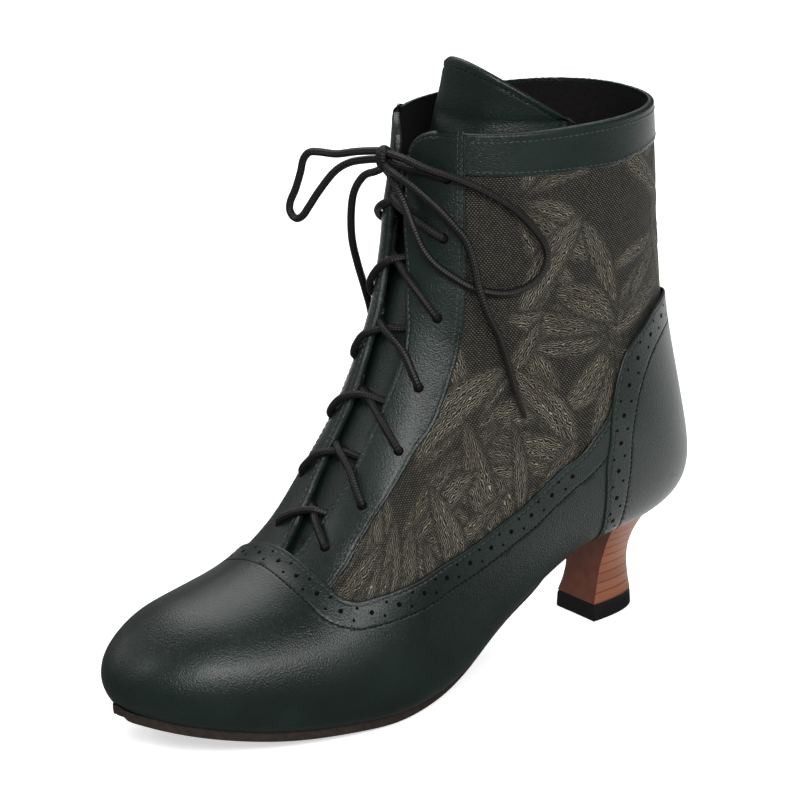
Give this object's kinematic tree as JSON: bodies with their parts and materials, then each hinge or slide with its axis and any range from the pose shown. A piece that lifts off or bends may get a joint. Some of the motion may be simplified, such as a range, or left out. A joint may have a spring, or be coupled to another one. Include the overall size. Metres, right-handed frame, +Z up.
{
  "type": "victorian lace up boot",
  "caption": "Ankle boot with a waisted flared heel, a laced front, a leather toe, counter, facings and collar over patterned cloth, and a tall tongue.",
  "frame": {"origin": "on the floor under the centre of the heel tip", "axes": "+X to the lateral (outer) side, -Y to the toe, +Z up"},
  "size_m": [0.09, 0.2435, 0.2239],
  "materials": {
    "green_leather": "smooth dark green leather, semi-gloss",
    "jacquard": "floral jacquard, taupe on black-brown",
    "lining": "black napped lining",
    "outsole": "dark brown, satin",
    "stacked_wood": "tan stacked layers, satin",
    "top_piece": "black, matt",
    "lace": "black waxed round braid"
  },
  "bodies": {
    "root": {"upper": "jacquard", "vamp": "green_leather", "counter": "green_leather", "eyestay_lateral": "green_leather", "eyestay_medial": "green_leather", "collar_band": "green_leather", "tongue": "green_leather", "insole": "lining", "outsole": "outsole", "heel": "stacked_wood", "heel_tip": "top_piece", "lace_crossing_1": "lace", "lace_crossing_2": "lace", "lace_crossing_3": "lace", "lace_crossing_4": "lace", "lace_crossing_5": "lace", "lace_crossing_6": "lace", "lace_knot": "lace", "lace_loop_left": "lace", "lace_loop_right": "lace", "lace_end_left": "lace", "lace_end_right": "lace"}
  },
  "joints": []
}
